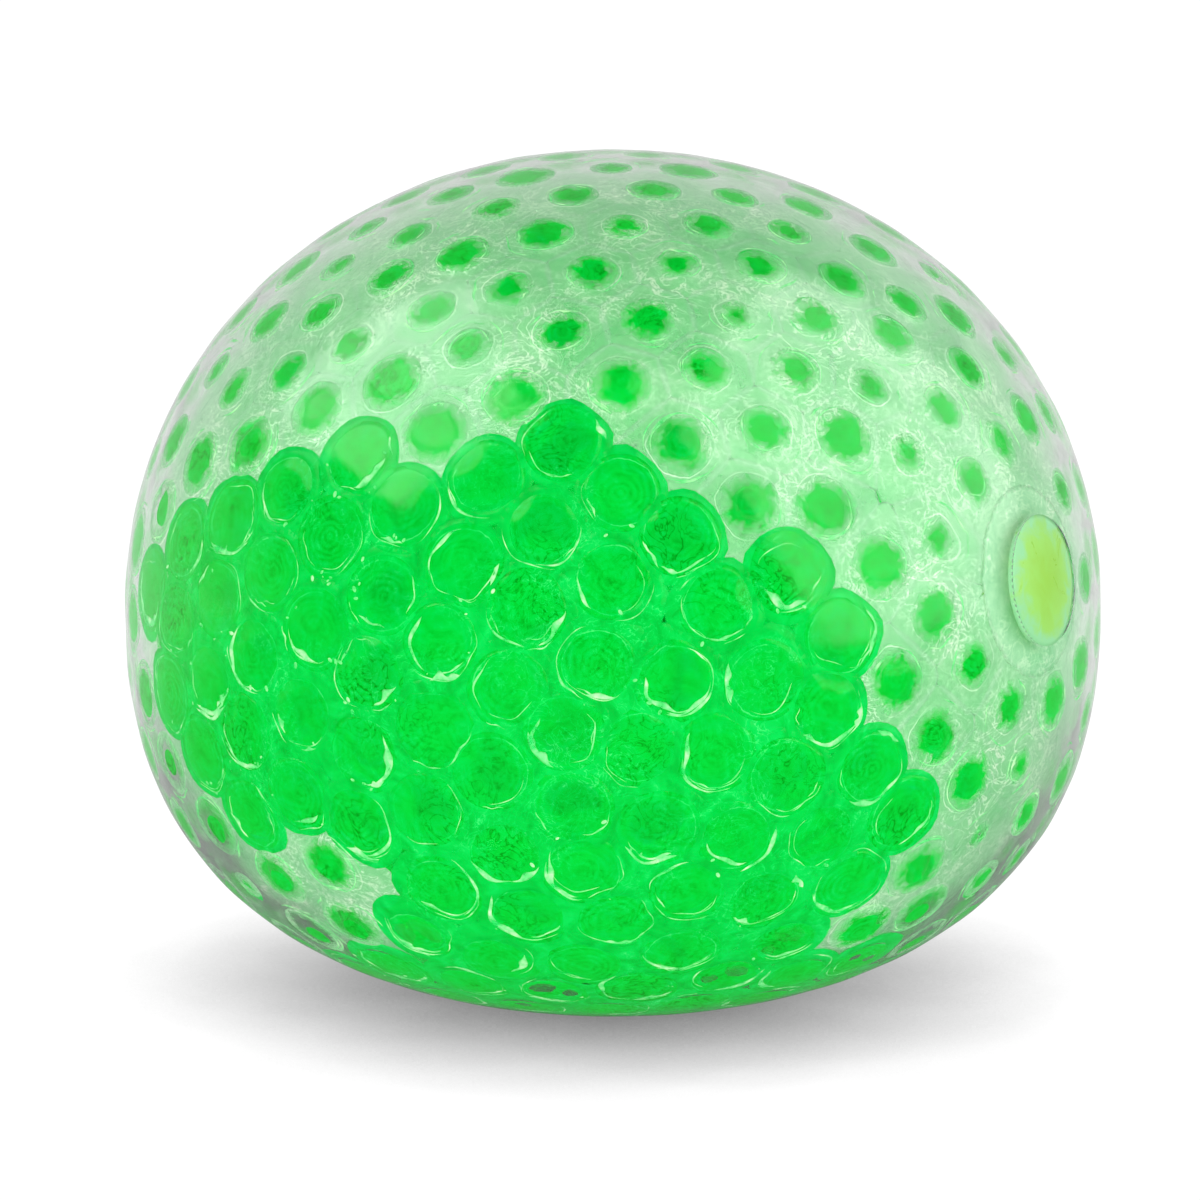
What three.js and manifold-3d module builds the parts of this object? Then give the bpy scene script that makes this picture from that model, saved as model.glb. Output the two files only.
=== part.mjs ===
// A squeeze ball: a thin clear skin, moulded in one piece, packed with soft gel beads.
// The beads go in through a small port in the side, and a plug closes it.
// Millimetres, +Z up. The origin is the middle of the flat patch that the ball rests on.

import * as THREE from 'three';
import { mergeVertices } from 'three/addons/utils/BufferGeometryUtils.js';
import Module from 'manifold-3d';

const wasm = await Module();
wasm.setup();

// Outer shape: two half ovals that meet at the belly, the lower one squarer from the ball's own weight
const HALF_WIDTH = 36.6;
const BELLY_HEIGHT = 28.8;
const CROWN_RISE = 34.2;
const CROWN_POWER = 2.05;
const BASE_DROP = 29.6;
const BASE_POWER = 2.4;
const BALL_HEIGHT = BELLY_HEIGHT + CROWN_RISE;

// Skin and beads
const WALL = 1.5;
const GAP = 0.3;
const BEAD_RADIUS = 3.1;
const BEAD_DEPTH = WALL + GAP + BEAD_RADIUS;
const CORE_DEPTH = WALL + 2 * GAP + 2 * BEAD_RADIUS;

// Layers of beads, from the table up, each with the same area of skin round it
const LAYERS = ['base', 'lower', 'middle', 'upper', 'crown'];
const BEADS_PER_LAYER = 10;
const BEAD_COUNT = LAYERS.length * BEADS_PER_LAYER;
const GOLDEN_ANGLE = Math.PI * (3 - Math.sqrt(5));
const FIRST_BEAD_ANGLE = 3.45;

// Filling port and its plug, on an axis through the middle of the belly
const PORT_AZIMUTH = THREE.MathUtils.degToRad(-30);
const PORT_TILT = THREE.MathUtils.degToRad(8);
const PORT_RADIUS = 2.6;
const BOSS_RADIUS = 6;
const SEAT_RADIUS = 4.8;
const BARB_RADIUS = 3.2;
const PORT_FACE = 36.55;
const SEAT_FLOOR = PORT_FACE - 0.95;
const BOSS_FACE = PORT_FACE - 2.95;
const BOSS_ROOT = PORT_FACE - 1.35;
const HEAD_CROWN = 0.25;
const BARB_LIP = 0.5;
const BARB_LENGTH = 1.6;
const PORT_CLEARANCE = 4;

// Facets
const SKIN_SEGMENTS = 36;
const SKIN_STEPS = 17;
const CORE_SEGMENTS = 24;
const CORE_STEPS = 4;
const PORT_SEGMENTS = 24;
const PATH_STEPS = 240;

const materials = {
  skin: new THREE.MeshStandardMaterial({
    color: 0xd6f0da,
    roughness: 0.15,
    metalness: 0,
    transparent: true,
    opacity: 0.35,
  }),
  plug: new THREE.MeshStandardMaterial({ color: 0xb4d45c, roughness: 0.35, metalness: 0 }),
  bead: new THREE.MeshStandardMaterial({ color: 0x06c23c, roughness: 0.2, metalness: 0 }),
};

// The ball's radius at a height, on the surface that lies a given depth inside the outer one
function radiusAt(depth, height) {
  const above = height > BELLY_HEIGHT;
  const reach = (above ? CROWN_RISE : BASE_DROP) - depth;
  const power = above ? CROWN_POWER : BASE_POWER;
  const share = Math.abs(height - BELLY_HEIGHT) / reach;
  return (HALF_WIDTH - depth) * Math.max(0, 1 - share ** power) ** (1 / power);
}

// The half section of that surface between two heights, closed on the axis
function halfSection(depth, low, high, steps) {
  const points = [new THREE.Vector2(0, low)];
  for (let i = 0; i <= steps; i++) {
    const share = (1 - Math.cos((Math.PI * i) / steps)) / 2;
    const height = low + (high - low) * share;
    points.push(new THREE.Vector2(radiusAt(depth, height), height));
  }
  points.push(new THREE.Vector2(0, high));
  return points.filter((point, i) => i === 0 || point.distanceTo(points[i - 1]) > 1e-6);
}

function wholeSection(depth, steps) {
  return halfSection(depth, depth, BALL_HEIGHT - depth, steps);
}

// A closed mesh as a solid for cutting and joining
function solidOf(geometry) {
  const bare = geometry.clone();
  bare.deleteAttribute('normal');
  bare.deleteAttribute('uv');
  const merged = mergeVertices(bare, 1e-4);
  const index = merged.index.array;
  const corners = [];
  for (let i = 0; i < index.length; i += 3) {
    const [a, b, c] = index.slice(i, i + 3);
    if (a !== b && b !== c && c !== a) {
      corners.push(a, b, c);
    }
  }
  return new wasm.Manifold(
    new wasm.Mesh({
      numProp: 3,
      vertProperties: new Float32Array(merged.attributes.position.array),
      triVerts: new Uint32Array(corners),
    }),
  );
}

function geometryOf(solid) {
  const mesh = solid.getMesh();
  const geometry = new THREE.BufferGeometry();
  geometry.setAttribute('position', new THREE.BufferAttribute(mesh.vertProperties, 3));
  geometry.setIndex(new THREE.BufferAttribute(mesh.triVerts, 1));
  geometry.computeVertexNormals();
  return geometry;
}

function named(name, geometry, material) {
  const mesh = new THREE.Mesh(geometry, material);
  mesh.name = name;
  return mesh;
}

// Turns +Y onto the port's axis and moves the origin to the middle of the belly
function portPlacement() {
  const outward = new THREE.Vector3(
    Math.cos(PORT_TILT) * Math.cos(PORT_AZIMUTH),
    Math.cos(PORT_TILT) * Math.sin(PORT_AZIMUTH),
    Math.sin(PORT_TILT),
  );
  const turn = new THREE.Quaternion().setFromUnitVectors(new THREE.Vector3(0, 1, 0), outward);
  const origin = new THREE.Vector3(0, 0, BELLY_HEIGHT);
  return new THREE.Matrix4().compose(origin, turn, new THREE.Vector3(1, 1, 1));
}

// A cylinder on the port's axis, between two distances from the middle of the belly
function portCylinder(radius, from, to) {
  const cylinder = new THREE.CylinderGeometry(radius, radius, to - from, PORT_SEGMENTS);
  cylinder.translate(0, (from + to) / 2, 0);
  return solidOf(cylinder.applyMatrix4(portPlacement()));
}

// Lathes turn about their own Y axis, and the ball stands on +Z
function upright(section, segments) {
  return new THREE.LatheGeometry(section, segments).rotateX(Math.PI / 2);
}

function makeSkin() {
  const outside = solidOf(upright(wholeSection(0, SKIN_STEPS), SKIN_SEGMENTS));
  const hollow = solidOf(upright(wholeSection(WALL, SKIN_STEPS), SKIN_SEGMENTS));
  const boss = portCylinder(BOSS_RADIUS, BOSS_FACE, BOSS_ROOT);
  const hole = portCylinder(PORT_RADIUS, BOSS_FACE - PORT_CLEARANCE, PORT_FACE + PORT_CLEARANCE);
  const seat = portCylinder(SEAT_RADIUS, SEAT_FLOOR, PORT_FACE + PORT_CLEARANCE);
  const skin = outside.subtract(hollow).add(boss).subtract(hole).subtract(seat);
  return named('skin', geometryOf(skin), materials.skin);
}

// A domed head in the seat, a stem through the port, and a barb that grips behind the boss
function makePlug() {
  const headRadius = SEAT_RADIUS - GAP;
  const stemRadius = PORT_RADIUS - GAP;
  const barbFace = BOSS_FACE - GAP;
  const section = [
    [0, barbFace - BARB_LENGTH],
    [stemRadius / 2, barbFace - BARB_LENGTH],
    [BARB_RADIUS, barbFace - BARB_LIP],
    [BARB_RADIUS, barbFace],
    [stemRadius, barbFace],
    [stemRadius, SEAT_FLOOR + GAP],
    [headRadius, SEAT_FLOOR + GAP],
    [headRadius, PORT_FACE - HEAD_CROWN],
    [headRadius / 2, PORT_FACE - HEAD_CROWN / 4],
    [0, PORT_FACE],
  ].map(([radius, along]) => new THREE.Vector2(radius, along));
  const plug = new THREE.LatheGeometry(section, PORT_SEGMENTS).applyMatrix4(portPlacement());
  return named('fill_plug', plug, materials.plug);
}

// The point on a section that has a given share of the turned surface below it
function pointByArea(section, share) {
  const areas = [0];
  for (let i = 1; i < section.length; i++) {
    const band = (section[i].x + section[i - 1].x) * section[i].distanceTo(section[i - 1]);
    areas.push(areas[i - 1] + band);
  }
  const wanted = share * areas.at(-1);
  const next = Math.max(1, areas.findIndex((area) => area >= wanted));
  const along = (wanted - areas[next - 1]) / (areas[next] - areas[next - 1]);
  return section[next - 1].clone().lerp(section[next], along);
}

// Beads that touch the skin, spread evenly over it on a golden-angle spiral from the foot up
function makeOuterBeads(layer) {
  const section = wholeSection(BEAD_DEPTH, PATH_STEPS);
  const beads = [];
  for (let i = 0; i < BEADS_PER_LAYER; i++) {
    const count = layer * BEADS_PER_LAYER + i;
    const place = pointByArea(section, (count + 0.5) / BEAD_COUNT);
    const angle = FIRST_BEAD_ANGLE + count * GOLDEN_ANGLE;
    const name = `${LAYERS[layer]}_bead_${String(i + 1).padStart(2, '0')}`;
    const bead = named(name, new THREE.IcosahedronGeometry(BEAD_RADIUS, 1), materials.bead);
    bead.position.set(place.x * Math.cos(angle), place.x * Math.sin(angle), place.y);
    beads.push(bead);
  }
  return beads;
}

// The beads further in, joined into one solid for each layer
function makeBeadCore(layer) {
  const section = wholeSection(BEAD_DEPTH, PATH_STEPS);
  const floor = pointByArea(section, layer / LAYERS.length).y + GAP / 2;
  const ceiling = pointByArea(section, (layer + 1) / LAYERS.length).y - GAP / 2;
  const low = Math.max(floor, CORE_DEPTH);
  const high = Math.min(ceiling, BALL_HEIGHT - CORE_DEPTH);
  const slice = upright(halfSection(CORE_DEPTH, low, high, CORE_STEPS), CORE_SEGMENTS);
  return named(`${LAYERS[layer]}_bead_core`, slice, materials.bead);
}

const ball = new THREE.Group();
ball.add(makeSkin(), makePlug());
LAYERS.forEach((name, layer) => {
  const group = new THREE.Group();
  group.add(makeBeadCore(layer), ...makeOuterBeads(layer));
  ball.add(group);
});

export default ball;
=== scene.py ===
"""The looks of a clear squeeze ball packed with gel beads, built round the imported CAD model.

Metres, in the CAD model's frame: +Z up, the ball resting on z = 0, the camera looking along +Y.
"""

import math

import bpy
import numpy as np
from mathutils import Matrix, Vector


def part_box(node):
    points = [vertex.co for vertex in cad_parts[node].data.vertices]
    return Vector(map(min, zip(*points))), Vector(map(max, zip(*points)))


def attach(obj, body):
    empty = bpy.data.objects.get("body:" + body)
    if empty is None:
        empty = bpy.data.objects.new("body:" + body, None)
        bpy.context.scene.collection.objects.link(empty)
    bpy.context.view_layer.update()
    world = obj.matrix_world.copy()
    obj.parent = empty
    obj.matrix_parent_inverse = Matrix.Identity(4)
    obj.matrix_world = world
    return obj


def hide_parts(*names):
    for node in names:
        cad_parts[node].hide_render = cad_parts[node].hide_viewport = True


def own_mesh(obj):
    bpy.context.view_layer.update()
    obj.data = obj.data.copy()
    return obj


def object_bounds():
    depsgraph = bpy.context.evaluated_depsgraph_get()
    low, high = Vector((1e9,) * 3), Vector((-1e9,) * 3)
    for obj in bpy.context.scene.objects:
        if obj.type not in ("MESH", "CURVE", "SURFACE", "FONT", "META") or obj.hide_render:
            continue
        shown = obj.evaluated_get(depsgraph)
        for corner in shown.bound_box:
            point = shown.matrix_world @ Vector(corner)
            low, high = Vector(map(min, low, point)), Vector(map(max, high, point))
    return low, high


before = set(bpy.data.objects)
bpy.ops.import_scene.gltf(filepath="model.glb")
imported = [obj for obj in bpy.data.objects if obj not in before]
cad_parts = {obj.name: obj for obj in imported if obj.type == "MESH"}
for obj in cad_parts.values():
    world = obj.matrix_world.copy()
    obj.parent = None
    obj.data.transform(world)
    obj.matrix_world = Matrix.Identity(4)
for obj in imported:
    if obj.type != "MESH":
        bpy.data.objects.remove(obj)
cad_low, cad_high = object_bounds()

# The ball's section: two half ovals that meet at the belly, cut flat by the table
HALF_WIDTH = (cad_high.x - cad_low.x) / 2
HEIGHT = cad_high.z
BELLY = 0.0288
CROWN_RISE = HEIGHT - BELLY
CROWN_POWER = 2.05
BASE_DROP = 0.0296
BASE_POWER = 2.4
WALL = 0.0015

# Filling port: an axis through the middle of the belly, and distances along it
PORT_AZIMUTH = math.radians(-30)
PORT_TILT = math.radians(8)
PORT_FACE = 0.03655
SEAT_FLOOR = PORT_FACE - 0.00095
BOSS_FACE = PORT_FACE - 0.00295
SEAT_RADIUS = 0.0048
PORT_RADIUS = 0.0026
BOSS_RADIUS = 0.0060

# Gel beads
BEAD_RADIUS = 0.0031
BEAD_SPREAD = 0.09
BEAD_SPACING = 0.0056
INNER_SPACING = 0.0061
CONTACT_SINK = (0.00026, 0.00056)
EMBED = 0.00003

# Where liquid fills the space between beads and skin: caps of the ball, as axis and half angle
WET_CAPS = (
    ((-0.69, -0.72, 0.03), 27),
    ((-0.12, -0.96, 0.21), 24),
    ((0.20, -0.97, -0.13), 24),
    ((0.02, -0.89, -0.45), 32),
    ((0.00, 0.00, -1.00), 36),
    ((0.50, 0.80, -0.30), 38),
)
WET_BLUR = 2.5

# Contact discs, as the angle from a bead's outward axis to the disc's rim
WET_CONTACT = 0.85
BORDER_CONTACT = 0.70
INNER_CONTACT = 0.6
LEAST_DISC_COSINE = 0.98
WET_BULGE = 0.30

# A neighbour limits a bead only in directions that face it, by this cosine at least
FACING = 0.2

# How far apart beads still count as neighbours, and how far a bead's share of the skin reaches
CELL_NEIGHBOURS = 0.0095
BORDER_NEIGHBOURS = 0.0072
DRY_REACH = 0.0056
WET_REACH = 0.0042
WET_BORDER_REACH = 0.0036
SPILL = 0.14

# Sections of the films: share of the way from disc to cell edge, inset, and depth below the skin
MIST_SECTION = (
    (0.0, -0.00080, -0.00006),
    (0.0, 0.00000, -0.00006),
    (0.2, 0.00000, 0.00002),
    (0.6, 0.00000, 0.00004),
    (1.0, 0.00000, 0.00004),
    (1.0, 0.00022, 0.00006),
    (1.0, 0.00021, 0.00008),
    (1.0, 0.00000, 0.00007),
    (0.6, 0.00000, 0.00008),
    (0.2, 0.00000, 0.00006),
    (0.0, 0.00000, -0.00003),
    (0.0, -0.00080, -0.00005),
)
LIQUID_SECTION = (
    (0.0, -0.00050, -0.00001),
    (0.5, 0.00000, -0.00001),
    (1.0, 0.00025, -0.00001),
    (1.0, 0.00035, 0.00010),
    (1.0, 0.00025, 0.00022),
    (0.5, 0.00000, 0.00020),
    (0.0, -0.00050, 0.00018),
)

# The mist is marked with how far out it is; a metre of inset counts as this much share
SHARE_PER_INSET = 500

# The outer wall stands out this much over each bead, fading over the second distance
SWELL = 0.00008
SWELL_REACH = 0.0022

# Threads and droplets of pale liquid, which also carry painted highlights and glints: rings and
# corners of each body, depth inside the skin, half depth
THREAD_RINGS = (13, 6)
DROPLET_RINGS = (4, 7)
THREAD_SINK = -0.00006
DROPLET_SINK = -0.00005
HALF_DEPTH = 0.00003
DROPLET_STRETCH = 1.6

LAYERS = ("base", "lower", "middle", "upper", "crown")
LAYER_BODIES = {
    "base": "skin_and_base",
    "lower": "lower_layer",
    "middle": "middle_layer",
    "upper": "upper_layer",
    "crown": "crown_layer",
}
GOLDEN_ANGLE = math.pi * (3 - math.sqrt(5))

rng = np.random.default_rng(7)
centre = np.array([0.0, 0.0, BELLY])


# ---------------------------------------------------------------- shape of the ball


def reach(direction, depth):
    """Distance from the middle of the belly to the surface that lies depth inside the skin."""
    across = np.hypot(direction[..., 0], direction[..., 1]) / (HALF_WIDTH - depth)
    rise = np.maximum(direction[..., 2], 0) / (CROWN_RISE - depth)
    drop = np.maximum(-direction[..., 2], 0) / (BASE_DROP - depth)
    crown = (across**CROWN_POWER + rise**CROWN_POWER) ** (-1 / CROWN_POWER)
    base = (across**BASE_POWER + drop**BASE_POWER) ** (-1 / BASE_POWER)
    table = (BELLY - depth) / np.maximum(-direction[..., 2], 1e-9)
    return np.where(direction[..., 2] > 0, crown, np.minimum(base, table))


def unit(vectors):
    return vectors / np.maximum(np.linalg.norm(vectors, axis=-1, keepdims=True), 1e-12)


def on_shell(points, depth):
    """Points moved along their rays from the middle of the belly onto the surface at a depth."""
    direction = unit(points - centre)
    return centre + direction * reach(direction, depth)[..., None]


def outward(points):
    """The surface's outward normal at points."""
    local = points - centre
    across = np.hypot(local[..., 0], local[..., 1])
    high = local[..., 2] > 0
    power = np.where(high, CROWN_POWER, BASE_POWER)
    tall = np.where(high, CROWN_RISE, BASE_DROP)
    side = (across / HALF_WIDTH) ** (power - 1) / HALF_WIDTH
    up = np.sign(local[..., 2]) * (np.abs(local[..., 2]) / tall) ** (power - 1) / tall
    normal = np.empty_like(local)
    normal[..., :2] = local[..., :2] / np.maximum(across, 1e-9)[..., None] * side[..., None]
    normal[..., 2] = up
    return unit(normal)


def frame_round(axis):
    """Two unit vectors square to each axis."""
    helper = np.where(np.abs(axis[..., 2:]) < 0.9, [0.0, 0.0, 1.0], [1.0, 0.0, 0.0])
    first = unit(np.cross(helper, axis))
    return first, np.cross(axis, first)


port_axis = np.array(
    [
        math.cos(PORT_TILT) * math.cos(PORT_AZIMUTH),
        math.cos(PORT_TILT) * math.sin(PORT_AZIMUTH),
        math.sin(PORT_TILT),
    ]
)
port_side, port_up = frame_round(port_axis)


def from_port_axis(points):
    """Distance along the port's axis, and distance from it."""
    along = (points - centre) @ port_axis
    return along, np.linalg.norm(points - centre - along[..., None] * port_axis, axis=-1)


# ---------------------------------------------------------------- packing of the beads


def shell_points(count, depth):
    """Points spread over the surface at a depth, on a golden-angle spiral with equal areas."""
    slope = np.linspace(-math.pi / 2, math.pi / 2, 2000)
    ray = np.stack([np.cos(slope), np.zeros_like(slope), np.sin(slope)], axis=1)
    edge = ray * reach(ray, depth)[:, None]
    band = np.linalg.norm(np.diff(edge, axis=0), axis=1) * (edge[1:, 0] + edge[:-1, 0])
    area = np.concatenate([[0], np.cumsum(band)])
    wanted = (np.arange(count) + 0.5) / count * area[-1]
    radius = np.interp(wanted, area, edge[:, 0])
    height = np.interp(wanted, area, edge[:, 2])
    angle = np.arange(count) * GOLDEN_ANGLE
    return centre + np.stack([radius * np.cos(angle), radius * np.sin(angle), height], axis=1)


def push_apart(free, fixed, spacing):
    """The step that moves free points away from every point nearer than their spacing."""
    everyone = np.vstack([free, fixed])
    gap = free[:, None, :] - everyone[None, :, :]
    distance = np.linalg.norm(gap, axis=2)
    distance[np.arange(len(free)), np.arange(len(free))] = 1.0
    near = np.maximum(spacing - distance, 0) / distance
    return (gap * near[:, :, None]).sum(axis=1)


def clear_of_port(points, radius):
    """Points nearer to the port's axis than radius, on its side, moved out to it."""
    along, away = from_port_axis(points)
    aside = points - centre - along[:, None] * port_axis
    short = (along > 0) & (away < radius)
    grow = np.where(short, radius / np.maximum(away, 1e-6) - 1, 0)
    return points + aside * grow[:, None]


def pack_outer(fixed, depth):
    """Beads against the skin: the fixed ones, and as many more as fill the wall round them."""
    whole = shell_points(2000, depth)
    area = 4 * math.pi * np.mean(np.linalg.norm(whole - centre, axis=1)) ** 2
    count = int(area / (BEAD_SPACING**2 * math.sqrt(3) / 2))
    free = shell_points(count, depth)
    for bead in fixed:
        nearest = np.argmin(np.linalg.norm(free - bead, axis=1))
        free = np.delete(free, nearest, axis=0)
    away = from_port_axis(free)
    free = free[~((away[0] > 0) & (away[1] < BOSS_RADIUS))]
    free = free + rng.normal(0, 0.0015, free.shape)
    for step in range(90):
        free = free + 0.45 * push_apart(free, fixed, BEAD_SPACING * 1.03)
        free = clear_of_port(free, BOSS_RADIUS + 0.0027)
        free = on_shell(free, depth)
    return free


def pack_inner(outer):
    """Beads further in, which fill the space inside the outer ones."""
    depth = WALL + 2 * BEAD_RADIUS + 0.0005
    side = np.arange(-HALF_WIDTH, HALF_WIDTH, INNER_SPACING)
    grid = np.stack(np.meshgrid(side, side, side, indexing="ij"), axis=-1).reshape(-1, 3) + centre
    grid = grid + rng.normal(0, 0.0009, grid.shape)
    inside = np.linalg.norm(grid - centre, axis=1) < reach(unit(grid - centre), depth)
    free = grid[inside]
    for step in range(60):
        free = free + 0.3 * push_apart(free, outer, INNER_SPACING)
    return free


# ---------------------------------------------------------------- meshes


def signed_volume(mesh):
    """Six times the volume inside a closed mesh, negative where its faces point in."""
    mesh.calc_loop_triangles()
    corners = np.zeros(len(mesh.loop_triangles) * 3, np.int32)
    mesh.loop_triangles.foreach_get("vertices", corners)
    points = np.zeros(len(mesh.vertices) * 3, np.float32)
    mesh.vertices.foreach_get("co", points)
    a, b, c = points.reshape(-1, 3)[corners.reshape(-1, 3)].transpose(1, 0, 2)
    return float(np.einsum("ij,ij->i", a, np.cross(b, c)).sum())


def new_piece(name, points, faces, material, marks=None):
    """A smooth mesh object, its faces pointing out; marks are named values, one for each point."""
    mesh = bpy.data.meshes.new(name)
    mesh.from_pydata(points.tolist(), [], faces)
    if signed_volume(mesh) < 0:
        mesh.flip_normals()
    mesh.update()
    mesh.polygons.foreach_set("use_smooth", [True] * len(mesh.polygons))
    mesh.materials.append(material)
    for mark, values in (marks or {}).items():
        mesh.attributes.new(mark, "FLOAT", "POINT").data.foreach_set("value", values.ravel())
    piece = bpy.data.objects.new(name, mesh)
    bpy.context.scene.collection.objects.link(piece)
    return piece


def ring_faces(rings, segments):
    """Faces of a closed body of rings between two poles: pole, rings, pole."""
    index = np.arange(rings * segments).reshape(rings, segments) + 1
    after = np.roll(index, -1, axis=1)
    last = rings * segments + 1
    faces = [(0, a, b) for a, b in zip(index[0].tolist(), after[0].tolist())]
    a, b, c, d = index[:-1], index[1:], after[1:], after[:-1]
    faces += np.stack([a, b, c, d], axis=-1).reshape(-1, 4).tolist()
    faces += [(last, b, a) for a, b in zip(index[-1].tolist(), after[-1].tolist())]
    return faces


def loop_faces(loops, segments):
    """Faces of a closed ring: loops of points that follow each other round its section."""
    index = np.arange(loops * segments).reshape(loops, segments)
    a, b = index, np.roll(index, -1, axis=0)
    c, d = np.roll(b, -1, axis=1), np.roll(a, -1, axis=1)
    return np.stack([a, b, c, d], axis=-1).reshape(-1, 4).tolist()


def join_bodies(name, shapes, faces, material, marks=None):
    """One piece of many separate closed bodies that share a list of faces."""
    each = shapes.shape[1]
    quads = []
    for number in range(len(shapes)):
        quads += [tuple(corner + number * each for corner in face) for face in faces]
    return new_piece(name, shapes.reshape(-1, 3), quads, material, marks)


# ---------------------------------------------------------------- beads and what lies between them


def neighbours_of(places, within, most=14):
    """For each place the numbers of those nearer than within, nearest first, filled up with -1."""
    gap = np.linalg.norm(places[:, None] - places[None], axis=2)
    np.fill_diagonal(gap, 1.0)
    order = np.argsort(gap, axis=1)[:, :most]
    return np.where(np.take_along_axis(gap, order, axis=1) < within, order, -1)


def soft_least(lengths, stiffness=22):
    """The least of several lengths, with the change from one to the next rounded off."""
    return (lengths**-stiffness).sum(axis=0) ** (-1 / stiffness)


def bead_points(beads, chosen, rings, segments):
    """Points of the chosen beads, and how far out on its bead each point is, 0 to 1."""
    shapes = []
    marks = []
    for block in np.array_split(chosen, max(1, len(chosen) // 64)):
        points, mark = bead_block(beads, block, rings, segments)
        shapes.append(points)
        marks.append(mark)
    return np.concatenate(shapes), np.concatenate(marks)


def bead_block(beads, chosen, rings, segments):
    """Balls on rings round their outward axes, flat where they meet a neighbour or the skin."""
    places, radii, cones = beads["places"], beads["radii"], beads["cones"]
    disc_rings = np.array([0.4, 0.8, 0.97, 1.0, 1.05])
    cone = cones[chosen][:, None]
    start = cone * disc_rings[-1]
    rest = rings - len(disc_rings)
    share = np.arange(1, rest + 1) / (rest + 1)
    angle = np.concatenate([cone * disc_rings, start + (math.pi - start) * share], axis=1)
    angle = np.repeat(angle, segments, axis=1)
    angle = np.concatenate([np.zeros_like(cone), angle, np.full_like(cone, math.pi)], axis=1)
    turn = np.tile(np.arange(segments) * 2 * math.pi / segments, rings)
    turn = np.concatenate([[0], turn, [0]])
    axis = beads["axes"][chosen]
    first, second = frame_round(axis)
    across = np.cos(turn)[:, None] * first[:, None] + np.sin(turn)[:, None] * second[:, None]
    ways = np.sin(angle)[..., None] * across + np.cos(angle)[..., None] * axis[:, None]
    own = radii[chosen][:, None]
    lobes = beads["lobes"][chosen]
    wobble = 0.030 * np.cos(2 * turn + lobes[:, :1]) + 0.020 * np.cos(3 * turn + lobes[:, 1:])
    bulge = beads["wet"][chosen][:, None] * WET_BULGE * np.exp(-(((angle - 0.75) / 0.22) ** 2))
    lengths = [own * (1 + bulge + wobble * np.sin(angle))]
    for other in beads["near"][chosen].T:
        gap = places[other] - places[chosen]
        half = np.linalg.norm(gap, axis=1) * radii[chosen] / (radii[chosen] + radii[other])
        toward = np.einsum("bvk,bk->bv", ways, unit(gap))
        reached = (toward > FACING) & (other >= 0)[:, None]
        lengths.append(np.where(reached, half[:, None] / np.maximum(toward, FACING), 1.0))
    length = soft_least(np.array(lengths))
    points = places[chosen][:, None, :] + ways * length[:, :, None]
    local = points - centre
    distance = np.linalg.norm(local, axis=-1)
    limit = reach(local / distance[..., None], WALL - EMBED)
    points = centre + local * np.minimum(1, limit / distance)[..., None]
    aside = np.cross(points - places[chosen][:, None], axis[:, None])
    rim = np.linalg.norm(aside, axis=-1) / own
    return points, np.where(angle > math.pi / 2, 1, np.clip(rim, 0, 1))


def cell_edge(beads, number, ways, widest, stiffness=24):
    """How far from a bead's axis its share of the skin reaches, along ways in the skin's plane."""
    here = beads["places"][number]
    lengths = [np.full(len(ways), widest)]
    for other in beads["round"][number]:
        if other >= 0:
            gap = beads["places"][other] - here
            toward = ways @ unit(gap)
            share = 0.5 if beads["wet"][number] or not beads["wet"][other] else 0.5 + SPILL
            limit = np.linalg.norm(gap) * share
            lengths.append(np.where(toward > FACING, limit / np.maximum(toward, FACING), 1.0))
    along, away = from_port_axis(here[None])
    if along[0] > 0:
        inward = -unit(here - centre - along[0] * port_axis)
        toward = ways @ inward
        clear = away[0] - BOSS_RADIUS + 0.0008
        lengths.append(np.where(toward > FACING, clear / np.maximum(toward, FACING), 1.0))
    return soft_least(np.array(lengths), stiffness)


def film_cell(beads, number, section, segments, widest, stiffness=24):
    """The film on the skin round one contact disc, as a thin ring with this section."""
    turn = np.arange(segments) * 2 * math.pi / segments
    first, second = frame_round(beads["axes"][number])
    ways = np.cos(turn)[:, None] * first + np.sin(turn)[:, None] * second
    disc = beads["radii"][number] * math.sin(beads["cones"][number]) + EMBED
    edge = np.maximum(cell_edge(beads, number, ways, widest, stiffness), disc + 0.0004)
    loops = []
    for share, inset, depth in section:
        out = disc + (edge - disc) * share + inset
        place = beads["places"][number] + ways * out[:, None]
        loops.append(on_shell(place, WALL + depth))
    return np.vstack(loops)


def liquid_cell(beads, number, segments):
    """The liquid round a wet bead, with a rounder outline where it borders on the mist."""
    neighbours = [other for other in beads["round"][number] if other >= 0]
    border = not beads["wet"][neighbours].all()
    widest, stiffness = (WET_BORDER_REACH, 7) if border else (WET_REACH, 24)
    return film_cell(beads, number, LIQUID_SECTION, segments, widest, stiffness)


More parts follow.
